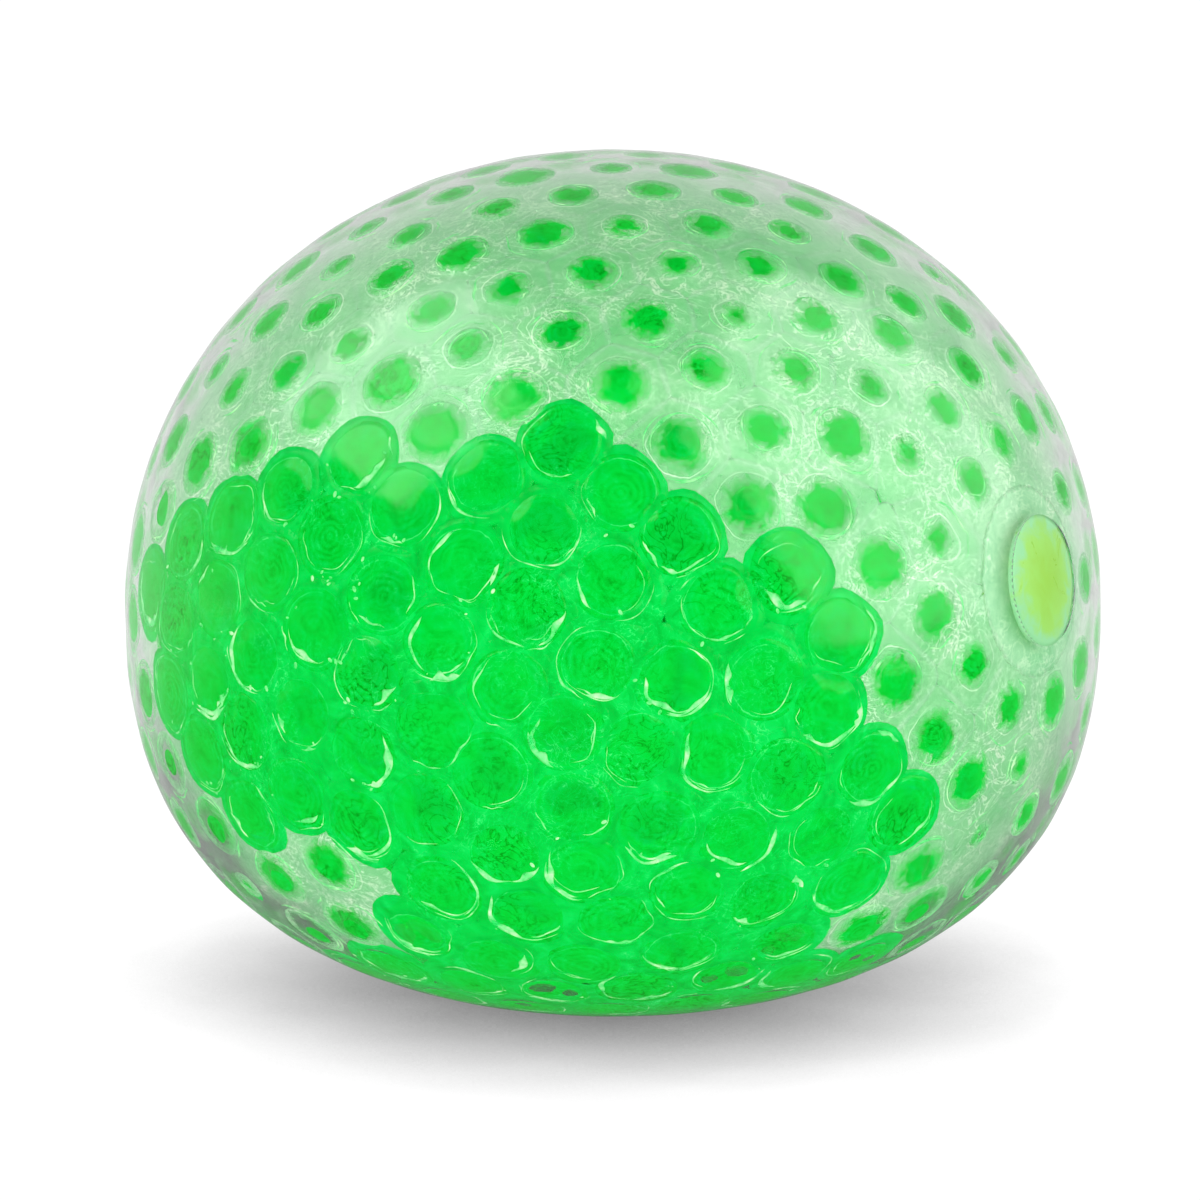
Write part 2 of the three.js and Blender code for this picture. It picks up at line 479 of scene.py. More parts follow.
def meniscus(beads, number, middle, half_span, width, share_out):
    """A thread of liquid round part of a bead, part of the way out to its cell's edge; being pale,
    it is also a painted highlight.
    """
    rings, segments = THREAD_RINGS
    share = np.linspace(-1, 1, rings + 2)
    turn = middle + share * half_span
    disc = beads["radii"][number] * math.sin(beads["cones"][number])
    first, second = frame_round(beads["axes"][number])
    ways = np.cos(turn)[:, None] * first + np.sin(turn)[:, None] * second
    edge = cell_edge(beads, number, ways, beads["radii"][number], 9)
    edge = edge * share_out if beads["wet"][number] else disc + (edge - disc) * share_out
    waves = np.sin(share * rng.uniform(2, 6, (2, 1)) + rng.uniform(0, 2 * math.pi, (2, 1)))
    thick = width * (1 - share**2) * (1 + 0.45 * waves[0])
    edge = edge + 0.00005 * waves[1] - thick / 2
    spine = beads["places"][number] + ways * edge[:, None]
    points = [on_shell(spine[0], WALL + THREAD_SINK)[None]]
    for step in range(1, rings + 1):
        for corner in range(segments):
            lean = corner * 2 * math.pi / segments
            out = spine[step] + ways[step] * math.cos(lean) * thick[step] / 2
            sink = THREAD_SINK - HALF_DEPTH * math.sin(lean)
            points.append(on_shell(out, WALL + sink)[None])
    points.append(on_shell(spine[-1], WALL + THREAD_SINK)[None])
    return np.vstack(points)


def droplet(beads, number, turn, away, size):
    """A speck of liquid against the skin near a bead's rim; being pale, it is a painted glint."""
    rings, segments = DROPLET_RINGS
    first, second = frame_round(beads["axes"][number])
    middle = beads["places"][number] + away * (math.cos(turn) * first + math.sin(turn) * second)
    middle = on_shell(middle, WALL + DROPLET_SINK)
    lean = rng.random() * math.pi
    long_way = (math.cos(lean) * first + math.sin(lean) * second) * DROPLET_STRETCH
    wide_way = np.cross(beads["axes"][number], long_way) / DROPLET_STRETCH
    points = [middle + long_way * size]
    for ring in range(1, rings + 1):
        angle = ring * math.pi / (rings + 1)
        for corner in range(segments):
            side = corner * 2 * math.pi / segments
            flat = HALF_DEPTH * math.sin(side) * beads["axes"][number]
            wide = wide_way * size * math.cos(side)
            long = long_way * size * math.cos(angle)
            points.append(middle + long + (wide + flat) * math.sin(angle))
    points.append(middle - long_way * size)
    return np.vstack(points)


# ---------------------------------------------------------------- materials


def principled(name, **values):
    material = bpy.data.materials.new(name)
    material.use_nodes = True
    nodes = material.node_tree.nodes
    shader = nodes["Principled BSDF"]
    for socket, value in values.items():
        shader.inputs[socket.replace("_", " ")].default_value = value
    return material, nodes, material.node_tree.links, shader


def noise(nodes, links, scale, detail=3.0, distortion=0.0, stretch=(1, 1, 1)):
    """A noise value over the piece's own coordinates; scale is in features per metre."""
    where = nodes.new("ShaderNodeTexCoord")
    shape = nodes.new("ShaderNodeMapping")
    shape.inputs["Scale"].default_value = stretch
    texture = nodes.new("ShaderNodeTexNoise")
    texture.inputs["Scale"].default_value = scale
    texture.inputs["Detail"].default_value = detail
    texture.inputs["Distortion"].default_value = distortion
    links.new(where.outputs["Object"], shape.inputs["Vector"])
    links.new(shape.outputs["Vector"], texture.inputs["Vector"])
    return texture.outputs["Fac"]


def math_node(nodes, links, operation, *values):
    node = nodes.new("ShaderNodeMath")
    node.operation = operation
    for socket, value in zip(node.inputs, values):
        if isinstance(value, (int, float)):
            socket.default_value = value
        else:
            links.new(value, socket)
    return node.outputs[0]


def ramp(nodes, links, value, stops):
    """A colour ramp over a value; stops are (position, linear colour), the two end ones first."""
    node = nodes.new("ShaderNodeValToRGB")
    elements = node.color_ramp.elements
    for number, (position, colour) in enumerate(stops):
        element = elements[number] if number < 2 else elements.new(position)
        element.position = position
        element.color = (*colour, 1)
    links.new(value, node.inputs["Fac"])
    return node.outputs["Color"]


def spread(nodes, links, value, low, high):
    """A noise value, centred on a half, turned into the range low to high."""
    node = nodes.new("ShaderNodeMapRange")
    node.inputs["From Min"].default_value = 0.3
    node.inputs["From Max"].default_value = 0.7
    node.inputs["To Min"].default_value = low
    node.inputs["To Max"].default_value = high
    links.new(value, node.inputs["Value"])
    return node.outputs["Result"]


def bump(nodes, links, shader, height, strength, distance):
    node = nodes.new("ShaderNodeBump")
    node.inputs["Strength"].default_value = strength
    node.inputs["Distance"].default_value = distance
    links.new(height, node.inputs["Height"])
    links.new(node.outputs["Normal"], shader.inputs["Normal"])


def skin_material():
    """Clear soft rubber: glass-like, with faint waves and a finely uneven gloss."""
    material, nodes, links, shader = principled(
        "clear_skin", Base_Color=(0.95, 0.99, 0.95, 1), IOR=1.24, Transmission_Weight=1.0
    )
    gloss = spread(nodes, links, noise(nodes, links, 900, 5), 0.08, 0.15)
    links.new(gloss, shader.inputs["Roughness"])
    bump(nodes, links, shader, noise(nodes, links, 260, 3, 0.6), 0.05, 0.0003)
    return material


def lines(nodes, links, value, middle, width, strength):
    """Thin lines where a value crosses middle, fading out over width on both sides."""
    node = nodes.new("ShaderNodeMapRange")
    node.inputs["From Max"].default_value = width
    node.inputs["To Min"].default_value = strength
    node.inputs["To Max"].default_value = 0.0
    gap = math_node(nodes, links, "SUBTRACT", value, middle)
    links.new(math_node(nodes, links, "ABSOLUTE", gap), node.inputs["Value"])
    return node.outputs["Result"]


def patches(nodes, links, value, scale, low=-0.4, high=1.1):
    """A value kept in some places and faded out in others."""
    where = spread(nodes, links, noise(nodes, links, scale, 1), low, high)
    where = math_node(nodes, links, "MAXIMUM", where, 0.0)
    return math_node(nodes, links, "MULTIPLY", value, where)


def total(nodes, links, *values):
    result = values[0]
    for value in values[1:]:
        result = math_node(nodes, links, "ADD", result, value)
    return result


def marked(nodes, name):
    """A value stored on the points of the piece."""
    node = nodes.new("ShaderNodeAttribute")
    node.attribute_name = name
    return node.outputs["Fac"]


def gel_material(name, clear):
    """Green gel: ripples and swirls, dark strands in some beads, light lines near the rim."""
    material, nodes, links, shader = principled(
        name, Roughness=0.10, IOR=1.34, Specular_IOR_Level=0.10, Transmission_Weight=clear
    )
    rim = marked(nodes, "rim")
    body = math_node(nodes, links, "MULTIPLY_ADD", rim, 0.20, 0.36)
    cloud = spread(nodes, links, noise(nodes, links, 420, 5, 2.2), -0.17, 0.15)
    fine = spread(nodes, links, noise(nodes, links, 1700, 3, 2.0), -0.07, 0.06)
    warp = noise(nodes, links, 520, 2, 0.8)
    circles = math_node(nodes, links, "MULTIPLY", rim, 40.0)
    phase = math_node(nodes, links, "MULTIPLY_ADD", warp, 14.0, circles)
    wave = math_node(nodes, links, "MULTIPLY", math_node(nodes, links, "SINE", phase), 0.10)
    ripple = patches(nodes, links, wave, 240)
    dark = lines(nodes, links, noise(nodes, links, 380, 2, 3.5), 0.5, 0.050, -0.40)
    light = lines(nodes, links, noise(nodes, links, 560, 4, 2.8), 0.52, 0.022, 0.42)
    ring = math_node(nodes, links, "MULTIPLY_ADD", warp, 0.16, 0.72)
    rim_line = lines(nodes, links, rim, ring, 0.022, 0.55)
    strands = total(
        nodes,
        links,
        patches(nodes, links, dark, 150),
        patches(nodes, links, light, 190),
        patches(nodes, links, rim_line, 260),
    )
    tone = total(nodes, links, body, cloud, fine, ripple, strands)
    stops = (
        (0.00, (0.000, 0.30, 0.010)),
        (1.00, (0.110, 0.90, 0.260)),
        (0.24, (0.000, 0.56, 0.036)),
        (0.42, (0.000, 0.67, 0.056)),
        (0.60, (0.000, 0.71, 0.095)),
        (0.78, (0.010, 0.79, 0.150)),
    )
    links.new(ramp(nodes, links, tone, stops), shader.inputs["Base Color"])
    return material


def mist_material(name, cover):
    """Moisture inside the skin: a thin pale film with fine threads, fraying round the discs."""
    material, nodes, links, shader = principled(name, IOR=1.4, Specular_IOR_Level=0.35)
    share = marked(nodes, "share")
    drift = noise(nodes, links, 180, 4, 0.8)
    tone = spread(nodes, links, drift, 0.12, 0.44)
    grain = spread(nodes, links, noise(nodes, links, 2400, 3), -0.08, 0.08)
    thread = lines(nodes, links, noise(nodes, links, 300, 4, 2.6, (1, 1, 1.8)), 0.5, 0.026, 0.55)
    hair = lines(nodes, links, noise(nodes, links, 620, 3, 2.0), 0.48, 0.050, 0.38)
    halo = math_node(nodes, links, "MULTIPLY_ADD", noise(nodes, links, 500, 2), 0.36, 0.02)
    ring = lines(nodes, links, share, halo, 0.035, 0.55)
    strands = total(
        nodes,
        links,
        patches(nodes, links, thread, 130),
        patches(nodes, links, hair, 210),
        patches(nodes, links, ring, 240),
    )
    blend = total(nodes, links, tone, grain, strands)
    stops = (
        (0.00, (0.18, 0.54, 0.24)),
        (1.00, (0.82, 0.94, 0.74)),
        (0.35, (0.32, 0.67, 0.36)),
        (0.65, (0.50, 0.78, 0.50)),
    )
    links.new(ramp(nodes, links, blend, stops), shader.inputs["Base Color"])
    links.new(spread(nodes, links, drift, 0.24, 0.42), shader.inputs["Roughness"])
    links.new(spread(nodes, links, blend, 0.05, 0.12), shader.inputs["Metallic"])
    fray = spread(nodes, links, noise(nodes, links, 800, 3, 1.0), -0.22, 0.22)
    near_dot = nodes.new("ShaderNodeMapRange")
    near_dot.inputs["From Min"].default_value = -0.38
    near_dot.inputs["From Max"].default_value = 0.14
    links.new(math_node(nodes, links, "ADD", share, fray), near_dot.inputs["Value"])
    slant = nodes.new("ShaderNodeLayerWeight")
    slant.inputs["Blend"].default_value = 0.5
    steep = math_node(nodes, links, "POWER", slant.outputs["Facing"], 2.0)
    steep = math_node(nodes, links, "MULTIPLY", steep, 0.5)
    whole = total(nodes, links, spread(nodes, links, blend, cover[0], cover[1]), steep)
    whole = math_node(nodes, links, "MINIMUM", whole, 0.96)
    alpha = math_node(nodes, links, "MULTIPLY", whole, near_dot.outputs["Result"])
    links.new(alpha, shader.inputs["Alpha"])
    return material


def liquid_material():
    """Liquid that fills the space between beads and skin: clear green with faint light threads."""
    material, nodes, links, shader = principled(
        "green_liquid", Roughness=0.15, IOR=1.34, Specular_IOR_Level=0.10, Transmission_Weight=0.25
    )
    cloud = spread(nodes, links, noise(nodes, links, 380, 5, 2.0), 0.10, 0.62)
    light = lines(nodes, links, noise(nodes, links, 620, 4, 2.6), 0.5, 0.025, 0.45)
    tone = total(nodes, links, cloud, patches(nodes, links, light, 180))
    stops = (
        (0.00, (0.0, 0.46, 0.035)),
        (1.00, (0.090, 0.88, 0.240)),
        (0.40, (0.0, 0.64, 0.070)),
        (0.65, (0.003, 0.72, 0.110)),
    )
    links.new(ramp(nodes, links, tone, stops), shader.inputs["Base Color"])
    return material


def thread_glint_material():
    """Threads of liquid: glossy, and pale in colour, which paints highlights and glints on them."""
    material, nodes, links, shader = principled("pale_liquid_thread_glint", Roughness=0.12, IOR=1.33)
    patch = noise(nodes, links, 1000, 3)
    stops = ((0.32, (0.03, 0.74, 0.14)), (0.74, (0.66, 0.97, 0.55)), (0.52, (0.24, 0.88, 0.30)))
    links.new(ramp(nodes, links, patch, stops), shader.inputs["Base Color"])
    links.new(spread(nodes, links, patch, 0.40, 0.95), shader.inputs["Alpha"])
    return material


def plug_material():
    """Soft yellow-green rubber, its colour fading to pale green at the rim."""
    material, nodes, links, shader = principled("plug_rubber", IOR=1.45)
    cloud = noise(nodes, links, 600, 3, 0.8)
    tone = total(nodes, links, marked(nodes, "rim"), spread(nodes, links, cloud, -0.22, 0.22))
    stops = (
        (0.20, (0.25, 0.58, 0.02)),
        (0.98, (0.24, 0.64, 0.28)),
        (0.66, (0.27, 0.64, 0.07)),
    )
    links.new(ramp(nodes, links, tone, stops), shader.inputs["Base Color"])
    links.new(spread(nodes, links, cloud, 0.25, 0.45), shader.inputs["Roughness"])
    return material


# ---------------------------------------------------------------- pieces


def port_ring(radius, along, segments):
    turn = np.arange(segments) * 2 * math.pi / segments
    across = np.cos(turn)[:, None] * port_side + np.sin(turn)[:, None] * port_up
    return centre + port_axis * along + across * radius


def boss_ring(slope, depth, segments):
    """A ring on the inside of the boss's flank, which slopes from its face (0) to the wall (1)."""
    ring = port_ring(BOSS_RADIUS - 0.0022 + 0.0034 * slope, PORT_FACE, segments)
    above = on_shell(ring, WALL + depth)
    fall = 0.5 + 0.5 * math.cos(math.pi * slope)
    sink = from_port_axis(above)[0] - BOSS_FACE + depth
    return above - port_axis * (sink * fall)[:, None]


def swollen(points, beads):
    """Points of the outer wall, pushed out a little over each bead and drawn in between them."""
    direction = unit(points - centre)
    push = np.zeros(len(points))
    for block in np.array_split(np.arange(len(points)), len(points) // 2000 + 1):
        gap = np.linalg.norm(points[block][:, None] - beads["touch"][None], axis=2)
        push[block] = np.exp(-((gap / SWELL_REACH) ** 2)).sum(axis=1)
    along, away = from_port_axis(points)
    calm = np.where(along > 0, np.clip((away - BOSS_RADIUS) / 0.003, 0, 1), 1)
    flat = np.clip((points[:, 2] - 0.0002) / 0.002, 0, 1)
    return points + direction * ((push - 1) * SWELL * calm * flat)[:, None]


def make_skin(material, beads):
    """Outer wall, seat, port, boss and inner wall, as one closed body of rings round the port."""
    segments = 220
    wall_angles = np.radians(np.linspace(178.6, 12.6, 125))
    turn = np.arange(segments) * 2 * math.pi / segments
    across = np.cos(turn)[:, None] * port_side + np.sin(turn)[:, None] * port_up
    rays = [math.cos(angle) * port_axis + math.sin(angle) * across for angle in wall_angles]
    rings = [swollen(on_shell(centre + ray, 0), beads) for ray in rays]
    for radius in (0.0066, 0.0058, 0.0052, SEAT_RADIUS + 0.00002):
        rings.append(on_shell(port_ring(radius, PORT_FACE, segments), 0))
    rings.append(port_ring(SEAT_RADIUS, PORT_FACE - 0.0005, segments))
    rings.append(port_ring(SEAT_RADIUS, SEAT_FLOOR + 0.0001, segments))
    rings.append(port_ring(SEAT_RADIUS - 0.0001, SEAT_FLOOR, segments))
    rings.append(port_ring(PORT_RADIUS, SEAT_FLOOR, segments))
    rings.append(port_ring(PORT_RADIUS, BOSS_FACE, segments))
    rings.append(port_ring(BOSS_RADIUS - 0.0024, BOSS_FACE, segments))
    rings += [boss_ring(slope, 0.00002, segments) for slope in np.linspace(0, 1, 9)]
    rings += [on_shell(centre + ray, WALL) for ray in rays[::-1]]
    poles = [on_shell(centre - port_axis, depth) for depth in (0, WALL)]
    points = np.vstack([poles[0][None], np.vstack(rings), poles[1][None]])
    skin = new_piece("ball_skin", points, ring_faces(len(rings), segments), material)
    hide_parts("skin")
    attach(skin, "skin_and_base")
    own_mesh(skin)
    lets_light_in(skin)


def lets_light_in(piece):
    """Light reaches what lies under a clear piece."""
    piece.visible_shadow = False
    piece.visible_diffuse = False


def make_plug(material):
    segments = 64
    section = [
        (0.0010, BOSS_FACE - 0.0019),
        (0.0020, BOSS_FACE - 0.0015),
        (0.0032, BOSS_FACE - 0.0006),
        (0.0032, BOSS_FACE - 0.0001),
        (PORT_RADIUS + EMBED, BOSS_FACE - 0.00005),
        (PORT_RADIUS + EMBED, SEAT_FLOOR - EMBED),
        (0.0046, SEAT_FLOOR - EMBED),
        (SEAT_RADIUS + EMBED, SEAT_FLOOR + 0.0001),
    ]
    rings = [port_ring(radius, along, segments) for radius, along in section]
    for radius in (SEAT_RADIUS + EMBED, 0.0045, 0.0030, 0.0012):
        rings.append(on_shell(port_ring(radius, PORT_FACE, segments), EMBED))
    poles = [centre + port_axis * (BOSS_FACE - 0.0019), on_shell(centre + port_axis, EMBED)]
    points = np.vstack([poles[0][None], np.vstack(rings), poles[1][None]])
    rim = from_port_axis(points)[1] / SEAT_RADIUS
    plug = new_piece("port_plug", points, ring_faces(len(rings), segments), material, {"rim": rim})
    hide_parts("fill_plug")
    ride_and_squash(plug, "plug")


def ride_and_squash(piece, body):
    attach(piece, body)
    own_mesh(piece)


def pack_beads():
    """Every bead's place, size and outward axis, its neighbours, and whether it is wet."""
    names = sorted(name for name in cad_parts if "_bead_" in name and "core" not in name)
    boxes = {name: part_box(name) for name in names}
    cad_places = np.array([np.array((boxes[name][0] + boxes[name][1]) / 2) for name in names])
    depth = WALL + BEAD_RADIUS - sum(CONTACT_SINK) / 2
    fixed = on_shell(cad_places, depth)
    outer = np.vstack([fixed, pack_outer(fixed, depth)])
    depths = [WALL + BEAD_RADIUS - rng.uniform(*CONTACT_SINK) for bead in outer]
    outer = np.array([on_shell(bead, depth) for bead, depth in zip(outer, depths)])
    count = len(outer)
    places = np.vstack([outer, pack_inner(outer)])
    radii = BEAD_RADIUS * (1 + BEAD_SPREAD * (rng.random(len(places)) - 0.5))
    axes = outward(places)
    touch = on_shell(outer, WALL)
    cones = np.full(len(places), INNER_CONTACT)
    cosine = np.linalg.norm(touch - outer, axis=1) / radii[:count]
    cones[:count] = np.arccos(np.clip(cosine, 0, LEAST_DISC_COSINE))
    wet = np.zeros(len(places), bool)
    for axis, half_angle in WET_CAPS:
        edge = np.cos(np.radians(half_angle + rng.normal(0, WET_BLUR, count)))
        wet[:count] |= axes[:count] @ unit(np.array(axis)) > edge
    cones[wet] = WET_CONTACT
    beside = neighbours_of(outer, BORDER_NEIGHBOURS)
    border = ~wet[:count] & (wet[beside] & (beside >= 0)).any(axis=1)
    cones[np.flatnonzero(border)] = BORDER_CONTACT
    spans = [[boxes[name] for name in names if name.startswith(layer)] for layer in LAYERS]
    highest = [max(high.z for low, high in span) for span in spans]
    lowest = [min(low.z for low, high in span) for span in spans]
    edges = [(below + above) / 2 for below, above in zip(highest[:-1], lowest[1:])]
    near = neighbours_of(places, BEAD_RADIUS * 2.04)
    return {
        "names": names,
        "places": places,
        "radii": radii,
        "axes": axes,
        "cones": cones,
        "wet": wet,
        "lobes": rng.uniform(0, 2 * math.pi, (len(places), 2)),
        "touch": on_shell(outer, 0),
        "near": near,
        "round": neighbours_of(outer, CELL_NEIGHBOURS),
        "layer": np.searchsorted(edges, places[:, 2]),
        "outer": np.arange(count),
        "inner": np.arange(count, len(places)),
    }


def make_beads(beads, gel, deep_gel):
    rings, segments = 16, 28
    faces = ring_faces(rings, segments)
    shapes, marks = bead_points(beads, beads["outer"], rings, segments)
    for number, name in enumerate(beads["names"]):
        piece = new_piece(name + "_gel", shapes[number], faces, gel, {"rim": marks[number]})
        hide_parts(name)
        ride_and_squash(piece, LAYER_BODIES[name.split("_")[0]])
        lets_light_in(piece)
    named = len(beads["names"])
    deep_rings, deep_segments = 12, 16
    deep_faces = ring_faces(deep_rings, deep_segments)
    deep_shapes, deep_marks = bead_points(beads, beads["inner"], deep_rings, deep_segments)
    for index, layer in enumerate(LAYERS):
        chosen = [k for k in beads["outer"][named:] if beads["layer"][k] == index]
        rims = {"rim": marks[chosen]}
        mass = join_bodies(layer + "_outer_beads", shapes[chosen], faces, gel, rims)
        ride_and_squash(mass, LAYER_BODIES[layer])
        lets_light_in(mass)
        chosen = np.flatnonzero(beads["layer"][beads["inner"]] == index)
        rims = {"rim": deep_marks[chosen]}
        core = join_bodies(layer + "_inner_beads", deep_shapes[chosen], deep_faces, deep_gel, rims)
        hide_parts(layer + "_bead_core")
        ride_and_squash(core, LAYER_BODIES[layer])


def make_layer_piece(name, layer, shapes, faces, material, marks=None):
    """Many small bodies of one layer as one piece that moves with it and lets light through."""
    if len(shapes):
        piece = join_bodies(layer + name, np.array(shapes), faces, material, marks)
        ride_and_squash(piece, LAYER_BODIES[layer])
        lets_light_in(piece)


def make_port_mist(material):
    """A flat ring of mist on the inside of the skin, round the port."""
    segments = 64
    steps = 9
    reaches = np.linspace(PORT_RADIUS + 0.0003, BOSS_RADIUS + 0.0013, steps)
    rings = [port_ring(away, PORT_FACE, segments) for away in reaches]
    loops = [on_shell(ring, WALL - 0.00005) for ring in rings]
    loops += [on_shell(ring, WALL - 0.00002) for ring in rings[::-1]]
    shares = 1 - np.linspace(0, 1, steps) ** 4 * 1.25
    marks = {"share": np.repeat(np.concatenate([shares, shares[::-1]]), segments)}
    faces = loop_faces(len(loops), segments)
    port_mist = new_piece("port_mist", np.vstack(loops), faces, material, marks)
    ride_and_squash(port_mist, "plug")
    lets_light_in(port_mist)


def make_films(beads, mist, port_film, liquid):
    """Between skin and beads: pale mist where it is dry, green liquid where it is wet."""
    make_port_mist(port_film)
    segments = 26
    for index, layer in enumerate(LAYERS):
        here = [k for k in beads["outer"] if beads["layer"][k] == index]
        dry = [k for k in here if not beads["wet"][k]]
        dry = [film_cell(beads, k, MIST_SECTION, segments, DRY_REACH) for k in dry]
        wet = [liquid_cell(beads, k, segments) for k in here if beads["wet"][k]]
        shares = [share + inset * SHARE_PER_INSET for share, inset, depth in MIST_SECTION]
        marks = {"share": np.tile(np.repeat(shares, segments), len(dry))}
        make_layer_piece("_mist", layer, dry, loop_faces(len(MIST_SECTION), segments), mist, marks)
        make_layer_piece("_liquid", layer, wet, loop_faces(len(LIQUID_SECTION), segments), liquid)


def make_menisci_and_glints(beads, material):
    """Threads and specks of liquid, pale as painted highlights: mostly low on the wet beads, where
    painted highlight arcs sit, and scattered on the rest.
    """
    for index, layer in enumerate(LAYERS):
        threads = []
        specks = []
        for number in beads["outer"]:
            if beads["layer"][number] != index:
                continue
            first, second = frame_round(beads["axes"][number])
            down = math.atan2(-second[2], -first[2])
            if beads["wet"][number]:
                # Pale threads round the lower side of each wet bead: painted highlight arcs.
                for thread in range(rng.integers(2, 7)):
                    width = 0.00006 + 0.0005 * rng.random() ** 4
                    turn = down + rng.normal(0, 1.1)
                    half_span = rng.uniform(0.25, 1.0)
                    share_out = rng.uniform(0.72, 0.97)
                    threads.append(meniscus(beads, number, turn, half_span, width, share_out))
                # More pale specks on beads on the ball's left: painted glints, heavier on that
                # side.
                sparkle = 9 if beads["places"][number][0] < -0.013 else 3
                for speck in range(rng.integers(0, sparkle)):
                    away = beads["radii"][number] * rng.uniform(0.60, 0.98)
                    size = rng.uniform(0.00004, 0.00015)
                    specks.append(droplet(beads, number, down + rng.normal(0, 0.9), away, size))
            else:
                # Short pale threads at the edge of each dry dot: painted glints.
                for thread in range(rng.integers(0, 3)):
                    turn = rng.uniform(0, 2 * math.pi)
                    half_span = rng.uniform(0.5, 1.8)
                    share_out = rng.uniform(-0.25, 0.3)
                    threads.append(meniscus(beads, number, turn, half_span, 0.0001, share_out))
                for thread in range(rng.integers(1, 5)):
                    width = rng.uniform(0.00005, 0.00018)
                    turn = rng.uniform(0, 2 * math.pi)
                    share_out = rng.uniform(-0.12, 0.9)
                    half_span = rng.uniform(0.2, 0.8)
                    threads.append(meniscus(beads, number, turn, half_span, width, share_out))
        make_layer_piece("_menisci", layer, threads, ring_faces(*THREAD_RINGS), material)
        make_layer_piece("_droplets", layer, specks, ring_faces(*DROPLET_RINGS), material)


# ---------------------------------------------------------------- stage, light and camera


def make_floor():
    """A plain white table that glows: a painted shadow near the ball, and painted dark in the
    ball's gloss towards the front.
    """
    material = bpy.data.materials.new("white_table")
    material.use_nodes = True
    nodes, links = material.node_tree.nodes, material.node_tree.links
    nodes.remove(nodes["Principled BSDF"])
    # Painted shadow: ambient occlusion darkens the table's glow near the ball.
    near = nodes.new("ShaderNodeAmbientOcclusion")
    near.inputs["Distance"].default_value = 0.0215
    near.samples = 16
    shade = math_node(nodes, links, "POWER", near.outputs["AO"], 1.5)
    seen = math_node(nodes, links, "MULTIPLY", shade, 1.06)
    path = nodes.new("ShaderNodeLightPath")
    shallow = math_node(nodes, links, "LESS_THAN", path.outputs["Ray Depth"], 2.5)
    through = math_node(nodes, links, "MULTIPLY", path.outputs["Is Transmission Ray"], shallow)
    # The table's glow lights the ball at 1.15 for diffuse and shallow transmission rays; seen in
    # gloss it is painted darker towards the front, at low Y.
    level = nodes.new("ShaderNodeMapRange")
    level.inputs["To Min"].default_value = 1.15
    mirrored = nodes.new("ShaderNodeMapRange")
    mirrored.inputs["From Min"].default_value = -0.02
    mirrored.inputs["From Max"].default_value = 0.10
    mirrored.inputs["To Min"].default_value = 0.06
    mirrored.inputs["To Max"].default_value = 0.85
    where = nodes.new("ShaderNodeTexCoord")
    split = nodes.new("ShaderNodeSeparateXYZ")
    links.new(where.outputs["Object"], split.inputs[0])
    links.new(split.outputs["Y"], mirrored.inputs["Value"])
    links.new(mirrored.outputs["Result"], level.inputs["To Max"])
    glossy = math_node(nodes, links, "SUBTRACT", path.outputs["Is Glossy Ray"], through)
    links.new(glossy, level.inputs["Value"])
    unseen = level.outputs["Result"]
    change = math_node(nodes, links, "SUBTRACT", seen, unseen)
    glow = nodes.new("ShaderNodeEmission")
    strength = math_node(
        nodes, links, "MULTIPLY_ADD", path.outputs["Is Camera Ray"], change, unseen
    )
    links.new(strength, glow.inputs["Strength"])
    material.cycles.emission_sampling = "NONE"
    links.new(glow.outputs["Emission"], nodes["Material Output"].inputs["Surface"])
    size = 3.0
    low = -0.00002
    mesh = bpy.data.meshes.new("floor")
    corners = [(x * size, y * size, low) for x, y in ((-1, -1), (1, -1), (1, 1), (-1, 1))]
    mesh.from_pydata(corners, [], [(0, 1, 2, 3)])
    mesh.materials.append(material)
    floor = bpy.data.objects.new("floor", mesh)
    bpy.context.scene.collection.objects.link(floor)


def make_world():
    """A room white behind the ball, dark above and in front; seen directly it is plain white."""
    world = bpy.data.worlds.new("studio")
    bpy.context.scene.world = world
    world.use_nodes = True
    nodes, links = world.node_tree.nodes, world.node_tree.links
    back = nodes["Background"]
    where = nodes.new("ShaderNodeTexCoord")
    split = nodes.new("ShaderNodeSeparateXYZ")
    links.new(where.outputs["Generated"], split.inputs[0])
    room = nodes.new("ShaderNodeMapRange")
    room.interpolation_type = "SMOOTHSTEP"
    room.inputs["From Min"].default_value = -0.45
    room.inputs["From Max"].default_value = 0.45
    room.inputs["To Min"].default_value = 0.015
    room.inputs["To Max"].default_value = 0.75
    above = math_node(nodes, links, "MAXIMUM", split.outputs["Z"], 0.0)
    behind = math_node(nodes, links, "MULTIPLY_ADD", above, -0.9, split.outputs["Y"])
    links.new(behind, room.inputs["Value"])
    path = nodes.new("ShaderNodeLightPath")
    mix = nodes.new("ShaderNodeMix")
    mix.data_type = "RGBA"
    mix.inputs[7].default_value = (1.05, 1.05, 1.05, 1)
    links.new(path.outputs["Is Camera Ray"], mix.inputs[0])
    links.new(room.outputs["Result"], mix.inputs[6])
    links.new(mix.outputs[2], back.inputs["Color"])


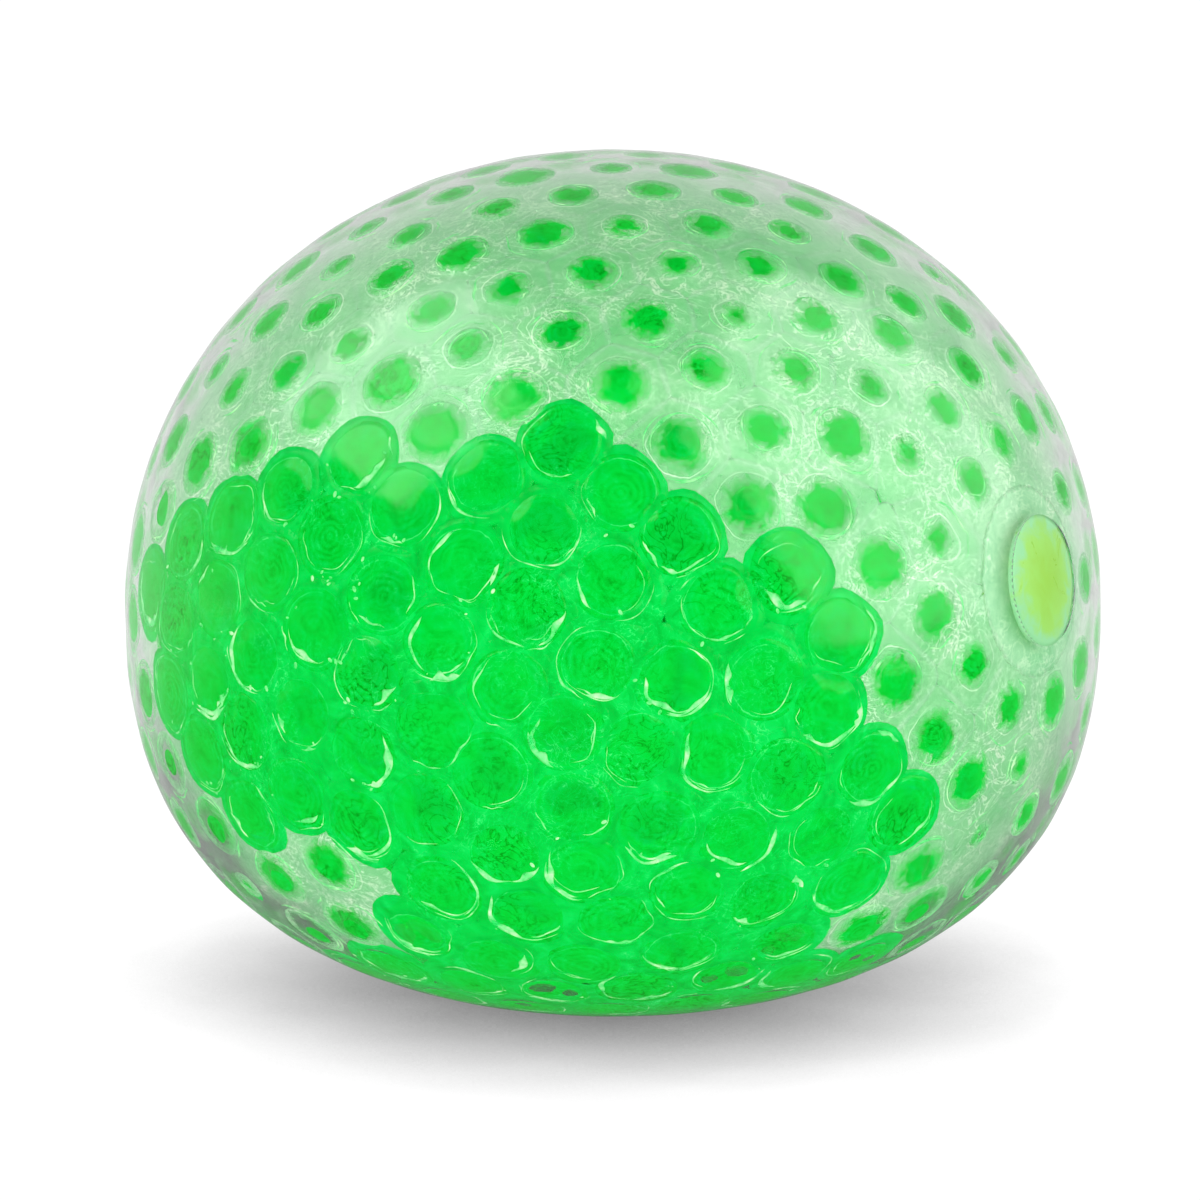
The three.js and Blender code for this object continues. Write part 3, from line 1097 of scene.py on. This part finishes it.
def softbox(name, direction, distance, size, radiance, fill=False):
    """A rectangular lamp facing the ball: seen in its gloss, or a fill lamp that only lights it."""
    light = bpy.data.lights.new(name, "AREA")
    light.shape = "RECTANGLE"
    light.size, light.size_y = size
    light.energy = radiance * math.pi * size[0] * size[1]
    lamp = bpy.data.objects.new(name, light)
    target = Vector(centre)
    lamp.location = target + Vector(direction).normalized() * distance
    lamp.rotation_euler = (target - lamp.location).to_track_quat("-Z", "Y").to_euler()
    lamp.visible_glossy = not fill
    lamp.visible_transmission = not fill
    lamp.visible_diffuse = fill
    bpy.context.scene.collection.objects.link(lamp)


def make_lights():
    softbox("left_softbox", (-0.645, -0.08, 0.79), 0.45, (0.42, 0.31), 3.9)
    softbox("right_softbox", (0.83, -0.16, 0.56), 0.60, (0.88, 0.90), 2.5)
    softbox("front_fill", (-0.10, -1.0, 0.35), 0.90, (1.20, 0.75), 2.35, fill=True)
    softbox("top_fill", (0.0, -0.25, 1.0), 0.90, (1.00, 1.00), 0.85, fill=True)
    softbox("left_fill", (-1.0, -0.35, 0.15), 0.90, (0.80, 0.80), 1.5, fill=True)
    softbox("right_fill", (1.0, -0.35, 0.15), 0.90, (0.80, 0.80), 2.2, fill=True)


def make_camera():
    elevation = math.radians(10)
    distance = 0.503
    data = bpy.data.cameras.new("camera")
    data.lens = 201
    data.sensor_width = 36
    camera = bpy.data.objects.new("camera", data)
    bpy.context.scene.collection.objects.link(camera)
    back = Vector((0, -math.cos(elevation), math.sin(elevation)))
    up = Vector((0, math.sin(elevation), math.cos(elevation)))
    target = Vector((-0.00098, 0, HEIGHT / 2)) + up * -0.00224
    camera.location = target + back * distance
    camera.rotation_euler = (-back).to_track_quat("-Z", "Y").to_euler()
    bpy.context.scene.camera = camera


make_camera()
make_floor()
make_world()
make_lights()
beads = pack_beads()
make_skin(skin_material(), beads)
make_plug(plug_material())
make_beads(beads, gel_material("gel_bead", 0.5), gel_material("deep_gel_bead", 0.0))
make_films(
    beads,
    mist_material("gel_mist", (0.44, 0.70)),
    mist_material("port_mist", (0.85, 0.95)),
    liquid_material(),
)
make_menisci_and_glints(beads, thread_glint_material())

scene = bpy.context.scene
scene.view_settings.view_transform = "Standard"
scene.cycles.caustics_reflective = False
scene.cycles.caustics_refractive = False
scene.cycles.max_bounces = 16
scene.cycles.transmission_bounces = 16
scene.cycles.transparent_max_bounces = 48
scene.cycles.use_denoising = True
